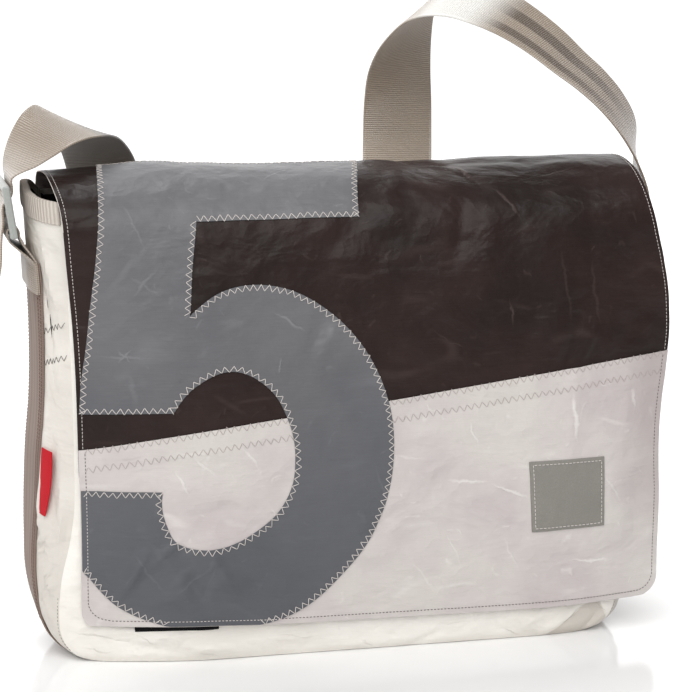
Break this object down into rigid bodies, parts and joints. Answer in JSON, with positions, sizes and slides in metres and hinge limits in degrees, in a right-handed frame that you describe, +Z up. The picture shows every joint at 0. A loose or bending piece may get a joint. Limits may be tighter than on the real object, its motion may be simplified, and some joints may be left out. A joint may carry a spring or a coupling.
{
  "type": "laptop messenger bag",
  "caption": "Sailcloth messenger bag for a laptop, with a long front flap, webbing shoulder strap and slider buckle.",
  "frame": {"origin": "middle of the bag's underside, on the flat lower face of the webbing", "axes": "+X towards the bag's right seen from the front, -Y the flap's front, +Z up"},
  "size_m": [0.4594, 0.2237, 0.4459],
  "materials": {
    "sailcloth_white": "satin sailcloth",
    "sailcloth_brown": "satin sailcloth",
    "sailcloth_offwhite": "satin sailcloth",
    "sailcloth_grey": "satin sailcloth",
    "lining_black": "matte woven",
    "binding_beige": "matte woven",
    "webbing_taupe": "ribbed webbing",
    "patch_grey": "matte grained",
    "tab_red": "matte woven",
    "hook_strip_black": "matte hook tape",
    "buckle_plastic": "semi-matte moulded"
  },
  "bodies": {
    "root": {"front_panel": "sailcloth_white", "back_panel": "sailcloth_white", "gusset": "sailcloth_white", "lining": "lining_black", "gusset_binding_left": "binding_beige", "gusset_binding_right": "binding_beige", "gusset_webbing": "webbing_taupe", "side_tab": "tab_red", "closure_strip": "hook_strip_black", "flap_lower": "sailcloth_offwhite", "flap_upper": "sailcloth_brown", "flap_numeral": "sailcloth_grey", "flap_patch": "patch_grey", "buckle": "buckle_plastic", "buckle_loop": "webbing_taupe", "shoulder_strap": "webbing_taupe"}
  },
  "joints": []
}
